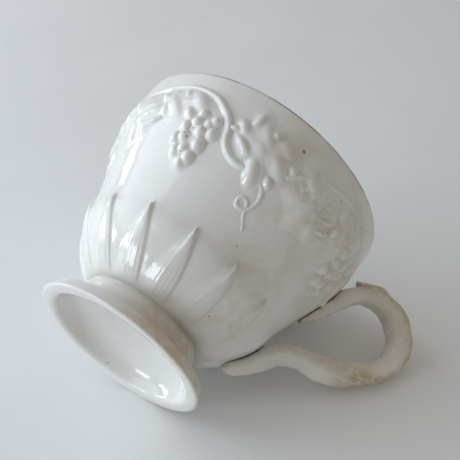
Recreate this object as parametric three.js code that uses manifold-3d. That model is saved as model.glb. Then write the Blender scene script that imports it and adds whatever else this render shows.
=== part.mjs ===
// Earthenware cup on a pedestal foot, with a twig handle and a vine garland in relief.
// Units are millimetres and degrees. +Z is up and the handle points along +Y.
// The cup stands on its foot ring.
import * as THREE from "three";
import { mergeVertices } from "three/addons/utils/BufferGeometryUtils.js";
import Module from "manifold-3d";

// Pedestal foot
const FOOT_HEIGHT = 11.8;
const NECK_RADIUS = 19.8;
const FLANGE_RADIUS = 28.4;
const FLANGE_HEIGHT = 3.4;
const FLANGE_ROUNDING = 1.2;
const RING_RADIUS = 27.2;
const RING_WIDTH = 1.8;
const HOLLOW_DEPTH = 8.4;

// Bowl: heights are measured up from the neck, where the bowl sits on the foot
const BOWL_HEIGHT = 63.2;
const BELLY_RADIUS = 33.8;
const BELLY_HEIGHT = 18;
const SHOULDER_RADIUS = 43.8;
const SHOULDER_HEIGHT = 50;
const RIM_RADIUS = 44;
const WALL = 3;
const LIP_THICKNESS = 2.4;
const FLOOR_THICKNESS = 4;

// Calyx of pointed leaves moulded on the bowl's lower half
const CALYX_LEAVES = 14;
const CALYX_HEIGHT = 20.9;
const CALYX_RELIEF = 0.9;
const CALYX_PHASE = -10.5;
const CALYX_COVER = 0.95;
const CALYX_TAPER = 1.3;

// Handle: a loop whose two tapered ends lie on the wall
const HANDLE_BELOW_RIM = 6.3;
const HANDLE_DROP = 52.2;
const HANDLE_REACH = 29;
const HANDLE_THICKNESS = 7.6;
const HANDLE_WIDTH = 8;
const SPUR_RADIUS = 1.5;

// Vine garland: four repeats round the bowl
const GARLAND_REPEATS = 4;
const GARLAND_BELOW_RIM = 22;
const GARLAND_PHASE = -33;
const HANDLE_REPEAT = 2;
const SPRIG_GAP = 0.3;
const SPRIG_FACET = 6;
const GRAPE_WIDTH = 3.4;
const GRAPE_LENGTH = 3.8;
const GRAPE_RELIEF = 1.9;
const LEAF_RELIEF = 1.3;
const STEM_WIDTH = 1.9;
const STEM_RELIEF = 1.3;
const TENDRIL_WIDTH = 1.2;
const TENDRIL_RELIEF = 0.9;

// Clearance of the handle to the wall that carries it
const HANDLE_GAP = 0.3;

// Sizes worked out from the ones above
const CUP_HEIGHT = FOOT_HEIGHT + BOWL_HEIGHT;
const GARLAND_HEIGHT = CUP_HEIGHT - GARLAND_BELOW_RIM;
const CALYX_PITCH = 360 / CALYX_LEAVES;

const whiteGlaze = () => new THREE.MeshStandardMaterial({ color: 0xe3e3df, roughness: 0.22, metalness: 0 });
const stainedGlaze = () => new THREE.MeshStandardMaterial({ color: 0xd8cebd, roughness: 0.3, metalness: 0 });

const wasm = await Module();
wasm.setup();

const radians = THREE.MathUtils.degToRad;
const degrees = THREE.MathUtils.radToDeg;

// Solids

function signedVolume(geometry) {
  const corner = [new THREE.Vector3(), new THREE.Vector3(), new THREE.Vector3()];
  let sum = 0;
  for (let i = 0; i < geometry.index.count; i += 3) {
    corner.forEach((c, k) => c.fromBufferAttribute(geometry.attributes.position, geometry.index.getX(i + k)));
    sum += corner[0].dot(corner[1].cross(corner[2])) / 6;
  }
  return sum;
}

// Merges shared vertices and turns the faces outwards.
function closed(geometry) {
  geometry.deleteAttribute("normal");
  geometry.deleteAttribute("uv");
  const merged = mergeVertices(geometry, 1e-4);
  const index = [];
  for (let i = 0; i < merged.index.count; i += 3) {
    const [a, b, c] = [0, 1, 2].map((k) => merged.index.getX(i + k));
    if (a !== b && b !== c && c !== a) index.push(a, b, c);
  }
  merged.setIndex(index);
  if (signedVolume(merged) < 0) merged.setIndex(index.reverse());
  return merged;
}

function toSolid(geometry) {
  return new wasm.Manifold(
    new wasm.Mesh({
      numProp: 3,
      vertProperties: new Float32Array(geometry.attributes.position.array),
      triVerts: new Uint32Array(geometry.index.array),
    }),
  );
}

function toGeometry(solid) {
  const mesh = solid.getMesh();
  const geometry = new THREE.BufferGeometry();
  geometry.setAttribute("position", new THREE.BufferAttribute(mesh.vertProperties, 3));
  geometry.setIndex(new THREE.BufferAttribute(mesh.triVerts, 1));
  return geometry;
}

const union = (geometries) => toGeometry(geometries.map(toSolid).reduce((all, solid) => all.add(solid)));

// Revolves a profile of (radius, height) points about +Z. An azimuth of 0 is +X.
function revolve(profile, segments) {
  return new THREE.LatheGeometry(profile, segments).rotateX(Math.PI / 2);
}

// Skins a row of rings that have the same number of points, and caps both ends.
function loft(rings) {
  const sides = rings[0].length;
  const points = rings.flat();
  const index = [];
  for (let ring = 0; ring + 1 < rings.length; ring++) {
    for (let side = 0; side < sides; side++) {
      const a = ring * sides + side;
      const b = ring * sides + ((side + 1) % sides);
      index.push(a, b, a + sides, b, b + sides, a + sides);
    }
  }
  for (const ring of [0, rings.length - 1]) {
    const middle = points.length;
    points.push(rings[ring].reduce((sum, p) => sum.add(p), new THREE.Vector3()).divideScalar(sides));
    for (let side = 0; side < sides; side++) {
      const edge = [ring * sides + side, ring * sides + ((side + 1) % sides)];
      if (ring === 0) edge.reverse();
      index.push(...edge, middle);
    }
  }
  const geometry = new THREE.BufferGeometry().setFromPoints(points);
  geometry.setIndex(index);
  return closed(geometry);
}

// Wall of the bowl

const point = (x, y) => new THREE.Vector2(x, y);
const bezier = (...points) => new THREE.CubicBezierCurve(...points);

// Curve from a low point to a high one, with pulls given as shares of the way out and the way up.
function swell(low, high, firstPull, lastPull) {
  const at = ([out, up]) => point(low.x + out * (high.x - low.x), low.y + up * (high.y - low.y));
  return bezier(low, at(firstPull), at(lastPull), high);
}

const BULB_PULLS = [[0.34, 0.11], [0.94, 0.61]];
const FLARE_PULLS = [[0.1, 0.28], [0.88, 0.69]];
const UPRIGHT_PULLS = [[0.9, 0.33], [1.3, 0.66]];
const BASIN_PULLS = [[0.62, 0], [0.97, 0.46]];

const neckEdge = point(NECK_RADIUS, 0);
const belly = point(BELLY_RADIUS, BELLY_HEIGHT);
const shoulder = point(SHOULDER_RADIUS, SHOULDER_HEIGHT);
const rimEdge = point(RIM_RADIUS, BOWL_HEIGHT - LIP_THICKNESS / 2);

const outerWall = [
  swell(neckEdge, belly, ...BULB_PULLS),
  swell(belly, shoulder, ...FLARE_PULLS),
  swell(shoulder, rimEdge, ...UPRIGHT_PULLS),
];

const WALL_SAMPLES = 60;
const wallLine = outerWall.flatMap((curve) => curve.getPoints(WALL_SAMPLES));

// Outer radius of the plain bowl at a height above the ground.
function wallRadius(height) {
  const up = height - FOOT_HEIGHT;
  const next = wallLine.findIndex((p) => p.y > up);
  if (next === 0) return wallLine[0].x;
  if (next < 0) return wallLine.at(-1).x;
  const [a, b] = [wallLine[next - 1], wallLine[next]];
  return a.x + ((b.x - a.x) * (up - a.y)) / (b.y - a.y);
}

// Place and directions on the outer wall at an azimuth and a height above the ground.
function wallFrame(angle, height) {
  const step = 0.05;
  const slope = (wallRadius(height + step) - wallRadius(height - step)) / (2 * step);
  const out = new THREE.Vector3(Math.cos(radians(angle)), Math.sin(radians(angle)), 0);
  const across = new THREE.Vector3(-out.y, out.x, 0);
  const up = new THREE.Vector3(out.x * slope, out.y * slope, 1).normalize();
  const normal = new THREE.Vector3().crossVectors(across, up);
  const place = out.clone().multiplyScalar(wallRadius(height)).setZ(height);
  return { place, across, up, normal };
}

function onWall(angle, height, lift) {
  const { place, normal } = wallFrame(angle, height);
  return place.addScaledVector(normal, lift);
}

// How far the wall near a height bulges past the longest facet on the back of a sprig.
function wallBulge(height) {
  const half = SPRIG_FACET / 2;
  const bulge = (at) => wallRadius(at) - (wallRadius(at - half) + wallRadius(at + half)) / 2;
  return Math.max(0, ...[-1, -0.5, 0, 0.5, 1].map((shift) => bulge(height + shift * half)));
}

// Lift of the back of a sprig that clears the wall.
const seatLift = (height) => SPRIG_GAP + wallBulge(height);

// Bowl

// Each calyx leaf has a column in the valley on its left, at its feet, at its edges and on its crown.
const CALYX_ACROSS = [-1, -1, -0.86, 0, 0.86, 1];
const CALYX_RISE = [0, 0, 0.75, 1, 0.75, 0];
const CALYX_COLUMNS = CALYX_ACROSS.length;
const LEAST_SHARE = 0.06;
const SPREAD_SHARE = 0.5;

// Half the width of a calyx leaf at a height above the neck, as a share of its width at the neck.
function calyxShare(up) {
  const grown = THREE.MathUtils.clamp(up / CALYX_HEIGHT, 0, 1);
  return Math.max(LEAST_SHARE, 1 - grown ** CALYX_TAPER);
}

// Place of a column across its calyx leaf, in half pitches: on the leaf's lines, then evenly spread above.
function columnPlace(column, up) {
  const even = (2 * column) / CALYX_COLUMNS - 1;
  if (column === 0) return even;
  const leaf = CALYX_ACROSS[column] * CALYX_COVER * calyxShare(up);
  const spread = THREE.MathUtils.smoothstep(up, CALYX_HEIGHT, CALYX_HEIGHT * (1 + SPREAD_SHARE));
  return THREE.MathUtils.lerp(leaf, even, spread);
}

function calyxRise(up) {
  const grown = THREE.MathUtils.smoothstep(up, 0, 0.12 * CALYX_HEIGHT);
  const ended = THREE.MathUtils.smoothstep(up, 0.86 * CALYX_HEIGHT, CALYX_HEIGHT);
  return CALYX_RELIEF * grown * (1 - ended);
}

function makeBowl() {
  const outer = [
    ...outerWall[0].getPoints(8),
    ...outerWall[1].getPoints(7).slice(1),
    ...outerWall[2].getPoints(2).slice(1),
  ];

  const lip = LIP_THICKNESS / 2;
  const lipCentre = point(RIM_RADIUS - lip, BOWL_HEIGHT - lip);
  const lipArc = [0.25, 0.5, 0.75, 1].map((turn) =>
    point(lipCentre.x + lip * Math.cos(turn * Math.PI), lipCentre.y + lip * Math.sin(turn * Math.PI)),
  );

  const floor = point(0, FLOOR_THICKNESS);
  const innerBelly = point(BELLY_RADIUS - WALL, BELLY_HEIGHT);
  const innerShoulder = point(SHOULDER_RADIUS - WALL, SHOULDER_HEIGHT);
  const inner = [
    ...swell(floor, innerBelly, ...BASIN_PULLS).getPoints(5),
    ...swell(innerBelly, innerShoulder, ...FLARE_PULLS).getPoints(3).slice(1),
  ].reverse();

  const profile = [point(0, 0), ...outer, ...lipArc, ...inner];
  const columns = CALYX_LEAVES * CALYX_COLUMNS;
  const geometry = new THREE.LatheGeometry(profile, columns);
  const { position } = geometry.attributes;
  for (let n = 0; n <= columns; n++) {
    const column = n % CALYX_COLUMNS;
    const middle = CALYX_PHASE + Math.floor(n / CALYX_COLUMNS) * CALYX_PITCH;
    profile.forEach((p, row) => {
      const carved = row > 0 && row <= outer.length;
      const across = columnPlace(column, carved ? p.y : BOWL_HEIGHT);
      const angle = radians(middle + (across * CALYX_PITCH) / 2);
      const radius = p.x + (carved ? CALYX_RISE[column] * calyxRise(p.y) : 0);
      const vertex = n * profile.length + row;
      position.setXYZ(vertex, radius * Math.cos(angle), radius * Math.sin(angle), p.y + FOOT_HEIGHT);
    });
  }
  return closed(geometry);
}

// Pedestal foot

const FOOT_SEGMENTS = 42;

function makeFoot() {
  const stemTop = point(NECK_RADIUS, FOOT_HEIGHT);
  const stemFoot = point(FLANGE_RADIUS - FLANGE_ROUNDING, FLANGE_HEIGHT);
  const stem = bezier(
    stemTop,
    point(NECK_RADIUS, FOOT_HEIGHT - 0.55 * (FOOT_HEIGHT - FLANGE_HEIGHT)),
    point(NECK_RADIUS + 0.55 * (stemFoot.x - NECK_RADIUS), FLANGE_HEIGHT),
    stemFoot,
  );
  const flange = bezier(
    stemFoot,
    point(FLANGE_RADIUS, FLANGE_HEIGHT),
    point(FLANGE_RADIUS + 0.2 * FLANGE_ROUNDING, 0.25 * FLANGE_HEIGHT),
    point(RING_RADIUS, 0),
  );
  const ringInside = point(RING_RADIUS - RING_WIDTH, 0);
  const hollow = bezier(
    ringInside,
    point(0.86 * ringInside.x, 0.55 * HOLLOW_DEPTH),
    point(0.5 * ringInside.x, HOLLOW_DEPTH),
    point(0, HOLLOW_DEPTH),
  );
  const profile = [
    point(0, FOOT_HEIGHT),
    ...stem.getPoints(5),
    ...flange.getPoints(4).slice(1),
    ...hollow.getPoints(5),
  ];
  return closed(revolve(profile, FOOT_SEGMENTS));
}

// Handle

const HANDLE_STEPS = 40;
const HANDLE_SIDES = 9;
const HANDLE_SQUARENESS = 0.78;
// Stations from the upper end on the wall, round the loop, to the lower end on the wall:
// drop below the top and stand-off from the wall, then thickness and width, as shares of the handle's sizes.
const HANDLE_STATIONS = [
  [0.45, 0.02, 0.2, 0.35],
  [0.32, 0.07, 0.62, 0.75],
  [0.165, 0.145, 0.95, 0.95],
  [0.06, 0.28, 1.15, 1.05],
  [0, 0.48, 1.22, 1.08],
  [0.027, 0.72, 1.2, 1.08],
  [0.14, 0.91, 1.1, 1.05],
  [0.265, 1, 1, 1],
  [0.37, 1, 0.95, 0.98],
  [0.455, 0.925, 0.95, 0.98],
  [0.55, 0.77, 1.08, 1.02],
  [0.612, 0.6, 1, 1],
  [0.65, 0.41, 0.92, 0.96],
  [0.705, 0.25, 0.92, 0.96],
  [0.8, 0.13, 0.86, 0.92],
  [0.905, 0.085, 0.74, 0.84],
  [1, 0.06, 0.3, 0.45],
];
// The spur is a cut twig end that lies on the loop's back and points at the wall.
const SPUR_STATIONS = [
  [0, 0.5, 1.15],
  [-0.05, 0.3, 1.05],
  [-0.005, 0.12, 0.7],
];

// Places stations of (drop, stand-off) in the plane of the handle.
function handlePlace([drop, standOff]) {
  const height = CUP_HEIGHT - HANDLE_BELOW_RIM - drop * HANDLE_DROP;
  return new THREE.Vector3(0, wallRadius(height) + standOff * HANDLE_REACH, height);
}

// Sweeps a rounded section along a curve in the YZ plane; sizeAt gives half thickness and half width.
function sweepInPlane(path, steps, sides, sizeAt) {
  const rings = [];
  for (let step = 0; step <= steps; step++) {
    const t = step / steps;
    const centre = path.getPoint(t);
    const tangent = path.getTangent(t);
    const normal = new THREE.Vector3(0, -tangent.z, tangent.y);
    const size = sizeAt(t);
    const ring = [];
    for (let side = 0; side < sides; side++) {
      const turn = (2 * Math.PI * (side + 0.5)) / sides;
      const squared = (v) => Math.sign(v) * Math.abs(v) ** HANDLE_SQUARENESS;
      const corner = centre.clone().addScaledVector(normal, size.x * squared(Math.cos(turn)));
      corner.x += size.y * squared(Math.sin(turn));
      ring.push(corner);
    }
    rings.push(ring);
  }
  return loft(rings);
}

function makeHandle() {
  const path = new THREE.CatmullRomCurve3(HANDLE_STATIONS.map(handlePlace));
  const halfSize = ([, , thick, wide]) => point((thick * HANDLE_THICKNESS) / 2, (wide * HANDLE_WIDTH) / 2);
  const sizes = new THREE.SplineCurve(HANDLE_STATIONS.map(halfSize));
  const loop = sweepInPlane(path, HANDLE_STEPS, HANDLE_SIDES, (t) => sizes.getPoint(t));

  const spurPath = new THREE.CatmullRomCurve3(SPUR_STATIONS.map(handlePlace));
  const spurSizes = new THREE.SplineCurve(
    SPUR_STATIONS.map(([, , share]) => point(share * SPUR_RADIUS, share * SPUR_RADIUS)),
  );
  const spur = sweepInPlane(spurPath, 6, 6, (t) => spurSizes.getPoint(t));

  const plug = closed(revolve(wallCover(HANDLE_GAP), CALYX_LEAVES * CALYX_COLUMNS));
  const cut = toSolid(union([loop, spur])).subtract(toSolid(plug));
  return toGeometry(cut);
}

// Profile that stands clear of the outer wall, calyx included, from the neck to above the rim.
function wallCover(gap) {
  const clear = wallLine.filter((_, i) => i % 6 === 0).map((p) => {
    const relief = p.y < CALYX_HEIGHT ? CALYX_RELIEF : 0;
    return point(p.x + relief + gap, p.y + FOOT_HEIGHT);
  });
  const top = point(clear.at(-1).x, CUP_HEIGHT + gap);
  return [point(0, FOOT_HEIGHT), ...clear, top, point(0, top.y)];
}

// Vine garland

const LEAF_SEGMENTS = 24;
// Section of a leaf from its middle to its edge and back: reach and thickness as shares.
const LEAF_SECTION = [[0, 0], [0.6, 0], [1, 0], [0.94, 0.5], [0.55, 1], [0, 0.75]];
const LEAF_NOTCH = 0.62;
const LEAF_STALK_NOTCH = 0.45;
const LOBE_SHARPNESS = 1.4;

// Outline of a vine leaf with five pointed lobes and a notch at the stalk, as a share of its reach.
function leafOutline(turn) {
  const lobes = LEAF_NOTCH + (1 - LEAF_NOTCH) * Math.abs(Math.cos(3 * turn)) ** LOBE_SHARPNESS;
  const fromStalk = THREE.MathUtils.smoothstep(Math.PI - Math.abs(turn), 0, Math.PI / 3);
  return lobes * THREE.MathUtils.lerp(LEAF_STALK_NOTCH, 1, fromStalk);
}

// Leaf pressed on the wall: middle at an azimuth and a height, spread in degrees, length up the wall.
function makeLeaf({ angle, height, spread, length, turn }) {
  const section = LEAF_SECTION.map(([reach, thick]) => point(reach, thick));
  const geometry = revolve(section, LEAF_SEGMENTS);
  const { position } = geometry.attributes;
  for (let i = 0; i < position.count; i++) {
    const way = Math.atan2(position.getY(i), position.getX(i));
    const reach = Math.hypot(position.getX(i), position.getY(i)) * leafOutline(way);
    const across = (reach * Math.cos(way + radians(turn)) * spread) / 2;
    const up = (reach * Math.sin(way + radians(turn)) * length) / 2;
    const lift = seatLift(height + up) + position.getZ(i) * LEAF_RELIEF;
    const place = onWall(angle + across, height + up, lift);
    position.setXYZ(i, place.x, place.y, place.z);
  }
  return closed(geometry);
}

const GRAPE_SEGMENTS = 6;
const GRAPE_SECTION = [[0, 0], [1, 0], [0.78, 0.66], [0, 1]];
const GRAPE_PACKING = 0.82;
const GRAPE_ROW_PACKING = 0.7;
// Grapes in each row of a bunch from the top, with a shift to the right in grape widths.
const BUNCH_ROWS = [[2, 0.7], [3, 0.4], [4, 0], [3, 0.1], [2, -0.1], [1, 0]];
const BUNCH_TOP = 4.6;

// Bunch of overlapping domes on the wall, joined to one pressed piece.
function makeBunch({ angle, height }) {
  const section = GRAPE_SECTION.map(([reach, rise]) => point(reach, rise));
  const grapes = [];
  let rowHeight = height + BUNCH_TOP;
  BUNCH_ROWS.forEach(([count, shift], row) => {
    for (let n = 0; n < count; n++) {
      const aside = (n - (count - 1) / 2) * GRAPE_PACKING + shift;
      const grapeAngle = angle + degrees((aside * GRAPE_WIDTH) / wallRadius(rowHeight));
      const { place, across, up, normal } = wallFrame(grapeAngle, rowHeight);
      const basis = new THREE.Matrix4().makeBasis(
        across.multiplyScalar(GRAPE_WIDTH / 2),
        up.multiplyScalar(GRAPE_LENGTH / 2),
        normal.clone().multiplyScalar(GRAPE_RELIEF),
      );
      basis.setPosition(place.addScaledVector(normal, seatLift(rowHeight)));
      const dome = revolve(section, GRAPE_SEGMENTS).rotateZ(row + n);
      grapes.push(closed(dome.applyMatrix4(basis)));
    }
    // The rows are spaced along the wall, which leans out.
    rowHeight -= GRAPE_LENGTH * GRAPE_ROW_PACKING * wallFrame(angle, rowHeight).up.z;
  });
  return union(grapes);
}

const STEM_SECTION = [[-1, 0], [1, 0], [0.75, 0.75], [0, 1], [-0.75, 0.75]];
const TENDRIL_SECTION = [[-1, 0], [1, 0], [0.5, 1], [-0.5, 1]];
const STEM_LOOK = 0.002;

// Stem that follows a curve of (azimuth, height) over the wall and thins towards its end.
function makeStem({ curve, steps, section, width, relief, taper, sink = 0 }) {
  const rings = [];
  for (let step = 0; step <= steps; step++) {
    const t = step / steps;
    const at = curve.getPoint(t);
    const ahead = curve.getPoint(Math.min(1, t + STEM_LOOK));
    const behind = curve.getPoint(Math.max(0, t - STEM_LOOK));
    const { normal } = wallFrame(at.x, at.y);
    const along = onWall(ahead.x, ahead.y, 0).sub(onWall(behind.x, behind.y, 0)).normalize();
    const side = new THREE.Vector3().crossVectors(along, normal);
    const thin = 1 - taper * t ** 2;
    rings.push(
      section.map(([aside, rise]) =>
        onWall(at.x, at.y, seatLift(at.y) - sink)
          .addScaledVector(side, (aside * thin * width) / 2)
          .addScaledVector(normal, rise * thin * relief),
      ),
    );
  }
  return loft(rings);
}

// One repeat of the garland, in degrees from the bunch and millimetres above the garland's middle.
const BUNCH_LEAF = { angle: -11, height: 8.2, spread: 25, length: 12.5, turn: -105 };
const SIDE_LEAF = { angle: -34, height: 4.2, spread: 25, length: 14, turn: 190 };
const VINE_LEAF = { angle: 26, height: 6, spread: 25, length: 19, turn: 35 };
const STEM_ROUTE = [
  [-51, 4],
  [-45, 8],
  [-38, 11.2],
  [-28, 13.4],
  [-11, 14.9],
  [-1, 12.8],
  [4.5, 9.4],
  [9, 5.8],
  [12.5, 2.6],
  [14, 0.4],
  [17, -1.2],
];
const TENDRIL_ROUTE = [
  [33.5, -3],
  [36.4, -5.2],
  [36.6, -8.4],
  [37.4, -11],
  [40.5, -14],
];
const TENDRIL_CURL = [
  [36.6, -8.6],
  [34, -10.2],
  [31.2, -9.2],
  [31, -6.8],
  [33.2, -5.7],
  [36.4, -6.2],
];
// The curl is lower than the tendril that it grows from, so that its ends are buried there.
const CURL_RELIEF_SHARE = 0.7;
const CURL_LIFT_SHARE = 0.1;

// A route and a leaf of one repeat, moved to that repeat's bunch.
function route(points, angle) {
  return new THREE.SplineCurve(points.map(([across, up]) => point(across + angle, up + GARLAND_HEIGHT)));
}

function placed(leaf, angle) {
  return { ...leaf, angle: leaf.angle + angle, height: leaf.height + GARLAND_HEIGHT };
}

// Stem that arches over a bunch. Grown by a clearance, it is the space that a leaf leaves free for it.
function makeVine(curve, grow) {
  const size = { width: STEM_WIDTH + 2 * grow, relief: STEM_RELIEF + 4 * grow, taper: 0.3, sink: 2 * grow };
  return makeStem({ curve, steps: 22, section: STEM_SECTION, ...size });
}

// Leaf without what the stem covers and what would lie beyond the stem.
function tuckUnder(leaf, stem) {
  const pieces = toSolid(leaf).subtract(toSolid(stem)).decompose();
  const largest = pieces.reduce((best, piece) => (piece.volume() > best.volume() ? piece : best));
  return toGeometry(largest);
}

function makeTendril(angle) {
  const shape = { steps: 10, section: TENDRIL_SECTION, width: TENDRIL_WIDTH };
  const tail = makeStem({ ...shape, curve: route(TENDRIL_ROUTE, angle), relief: TENDRIL_RELIEF, taper: 0.4 });
  const curl = makeStem({
    ...shape,
    curve: route(TENDRIL_CURL, angle),
    relief: TENDRIL_RELIEF * CURL_RELIEF_SHARE,
    taper: 0.1,
    sink: -TENDRIL_RELIEF * CURL_LIFT_SHARE,
  });
  return union([tail, curl]);
}

// Assembly

const cup = new THREE.Group();

function add(name, geometry, material) {
  const mesh = new THREE.Mesh(geometry, material);
  mesh.name = name;
  cup.add(mesh);
}

add("bowl", makeBowl(), whiteGlaze());
add("pedestal_foot", makeFoot(), whiteGlaze());
add("handle", makeHandle(), stainedGlaze());

for (let repeat = 1; repeat <= GARLAND_REPEATS; repeat++) {
  const angle = GARLAND_PHASE + ((repeat - 1) * 360) / GARLAND_REPEATS;
  // The handle takes the place of one large leaf, and the next stem starts past the handle.
  const besideHandle = repeat === HANDLE_REPEAT;
  const afterHandle = repeat === HANDLE_REPEAT + 1;
  const curve = route(afterHandle ? STEM_ROUTE.slice(1) : STEM_ROUTE, angle);
  const tucked = (leaf) => tuckUnder(makeLeaf(placed(leaf, angle)), makeVine(curve, SPRIG_GAP));
  add(`grape_bunch_${repeat}`, makeBunch({ angle, height: GARLAND_HEIGHT }), whiteGlaze());
  add(`vine_stem_${repeat}`, makeVine(curve, 0), whiteGlaze());
  add(`bunch_leaf_${repeat}`, tucked(BUNCH_LEAF), whiteGlaze());
  add(`side_leaf_${repeat}`, tucked(SIDE_LEAF), whiteGlaze());
  if (besideHandle) continue;
  add(`vine_leaf_${repeat}`, tucked(VINE_LEAF), whiteGlaze());
  add(`tendril_${repeat}`, makeTendril(angle), whiteGlaze());
}

// The origin is the middle of the footprint, on the ground.
const footprint = new THREE.Box3().setFromObject(cup).getCenter(new THREE.Vector3());
cup.position.set(-footprint.x, -footprint.y, 0);

const part = new THREE.Group();
part.add(cup);

export default part;
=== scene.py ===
"""White earthenware cup on a pedestal foot, with a leaf calyx, a vine in relief and a twig handle.

The cup lies on its side on a pale table. Shapes are in millimetres about the cup's axis and angles are in
degrees, and every piece is scaled to metres and set on the frame's axis when it is finished. Materials and
lights are in metres.
"""
import math

import bmesh
import bpy
import numpy as np
from mathutils import Matrix, Vector


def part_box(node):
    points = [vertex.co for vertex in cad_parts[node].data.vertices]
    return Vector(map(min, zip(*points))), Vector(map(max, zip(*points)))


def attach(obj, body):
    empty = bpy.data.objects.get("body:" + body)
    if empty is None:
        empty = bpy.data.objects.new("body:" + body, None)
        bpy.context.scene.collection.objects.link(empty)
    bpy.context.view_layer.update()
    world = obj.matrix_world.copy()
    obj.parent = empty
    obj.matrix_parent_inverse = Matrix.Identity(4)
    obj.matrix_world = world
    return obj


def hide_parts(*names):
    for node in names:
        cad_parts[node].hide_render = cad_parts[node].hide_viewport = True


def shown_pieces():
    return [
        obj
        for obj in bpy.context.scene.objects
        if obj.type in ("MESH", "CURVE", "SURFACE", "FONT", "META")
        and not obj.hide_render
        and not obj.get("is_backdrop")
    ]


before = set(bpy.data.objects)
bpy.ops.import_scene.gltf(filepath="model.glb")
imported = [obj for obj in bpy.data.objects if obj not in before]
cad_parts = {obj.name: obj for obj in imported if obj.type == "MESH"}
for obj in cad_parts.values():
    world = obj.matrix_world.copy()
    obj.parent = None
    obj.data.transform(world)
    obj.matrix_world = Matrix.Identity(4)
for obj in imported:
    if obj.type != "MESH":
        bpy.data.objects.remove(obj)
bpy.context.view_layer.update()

MM = 0.001
TOUCH = 1e-3
TINY = 1e-6
WHITE_SLOT = "white_glaze"
STAINED_SLOT = "stained_glaze"

# Places taken from the frame
FOOT_LOW, FOOT_HIGH = (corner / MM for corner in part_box("pedestal_foot"))
BOWL_LOW, BOWL_HIGH = (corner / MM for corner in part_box("bowl"))
AXIS = Vector((0, (FOOT_LOW.y + FOOT_HIGH.y) / 2, 0))
NECK_Z = BOWL_LOW.z
RIM_Z = BOWL_HIGH.z

# Pedestal foot: the shank under the neck, the flange, the ring that it stands on and the hollow
NECK_RADIUS = 19.8
SHANK_PULL = 0.55
SHANK_STEPS = 34
FLANGE_RADIUS = 28.4
FLANGE_TAPER = 0.9
FLANGE_HEIGHT = 3.8
FLANGE_ROUNDING = 0.7
FLANGE_PULL = 0.3
FLANGE_STEPS = 6
FLANK_POINTS = 8
GROOVE_DEPTH = 0.45
GROOVE_INSET = 0.4
GROOVE_WIDTH = 0.5
HEEL_ROUNDING = 0.55
HEEL_PULL = 0.2
HEEL_STEPS = 10
RING_RADIUS = 27
RING_WIDTH = 1
RING_PULL = 0.6
HOLLOW_DEPTH = 9.6
HOLLOW_PULLS = ((0.05, 0.58), (0.17, 1))
HOLLOW_STEPS = 34
HOLLOW_LIP_WIDTH = 2.5
HOLLOW_LIP_DEPTH = 1.4
HOLLOW_LIP_PULLS = (0.45, 0.5)
HOLLOW_LIP_STEPS = 10
FOOT_COLUMNS = 288
FOOT_WOBBLE = 0.5
FOOT_WOBBLE_FADE = 6
FOOT_WOBBLE_CORE = 8

# Marks on the foot: dirt and painted shade in its groove and crease, stains carried over the flange as
# painted shade, and glaze pooled at the hollow's lip, darkened as painted shade
GROOVE_DIRT_AND_SHADE = 0.45
GROOVE_DIRT_AND_SHADE_INSET = 0.5
GROOVE_DIRT_AND_SHADE_ABOVE = 0.6
FOOT_CREASE = 1.1
SHANK_SKIN = 1
FOOT_STAIN_AND_SHADE_FROM = (-32, 6)
FOOT_STAIN_AND_SHADE_TO = (100, 70)
FOOT_STAIN_AND_SHADE_RADII = (27.2, 27.9)
FOOT_STAIN_AND_SHADE_HEIGHTS = (0.5, 1.5)
POOL_AND_SHADE_FROM = (-50, -20)
POOL_AND_SHADE_TO = (16, 3)
POOL_AND_SHADE_INSET = 0.32
POOL_AND_SHADE_WIDTH = 0.5

# Bowl
BELLY = (33.8, NECK_Z + 18)
SHOULDER = (43.8, NECK_Z + 50)
RIM_RADIUS = 44
WALL = 3
LIP_THICKNESS = 2.4
LIP_STEPS = 14
FLOOR_THICKNESS = 4
BULB_PULLS = ((0.34, 0.11), (0.94, 0.61))
FLARE_PULLS = ((0.1, 0.28), (0.88, 0.69))
UPRIGHT_PULLS = ((0.9, 0.33), (1.3, 0.66))
BASIN_PULLS = ((0.62, 0), (0.97, 0.46))
BULB_STEPS, FLARE_STEPS, UPRIGHT_STEPS = 52, 44, 14
BASIN_STEPS, INNER_FLARE_STEPS, INNER_UPRIGHT_POINTS = 20, 16, 6
BOWL_COLUMNS = 504
BOWL_CREASE = 0.9
BOWL_WOBBLE_FADE = 8
# Stray of a hand-finished wall: height, waves round the cup, drift with the height and start
WOBBLES = ((0.1, 2, 0, 0.6), (0.06, 3, -0.08, 0), (0.04, 5, 0.13, 0))
SLOPE_STEP = 0.2
# Worn line under the lip, darkest at one azimuth
RIM_LINE_DROP = 0.65
RIM_LINE_WIDTH = 0.3
RIM_LINE_EVEN = 0.6
RIM_LINE_AZIMUTH = 10

# Calyx of pointed leaves on the lower half of the bowl
CALYX_LEAVES = 14
CALYX_HEIGHT = 20.9
CALYX_RELIEF = 0.95
CALYX_PHASE = -10.5
CALYX_COVER = 0.96
CALYX_TAPER = 1.3
CALYX_CRISP_EDGE = 0.6
CALYX_SOFT_EDGE = 5
CALYX_CROWN = 2.4
CALYX_EDGE_SHARE = 0.42
CALYX_FADE = 0.1
CALYX_LEAST_HALF = 0.1
# Ribs of a calyx leaf: height, waves from the middle to an edge, lean with the height and start
CALYX_RIBS = ((0.05, 3.5, 0.1, 0), (0.03, 2.1, -0.06, 0.8))
# Darkening in the hollows beside the calyx leaves: dirt and painted shade
CALYX_CAVITY_REACH = 0.9
CALYX_CAVITY_DEPTH = 0.35
CALYX_DIRT_AND_SHADE = 0.6

# Handle
HANDLE_TOP = RIM_Z - 6.3
HANDLE_DROP = 52.2
HANDLE_REACH = 29
HANDLE_THICKNESS = 7.6
HANDLE_WIDTH = 8
HANDLE_RINGS = 220
HANDLE_SIDES = 48
HANDLE_SQUARENESS = 0.66
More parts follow.
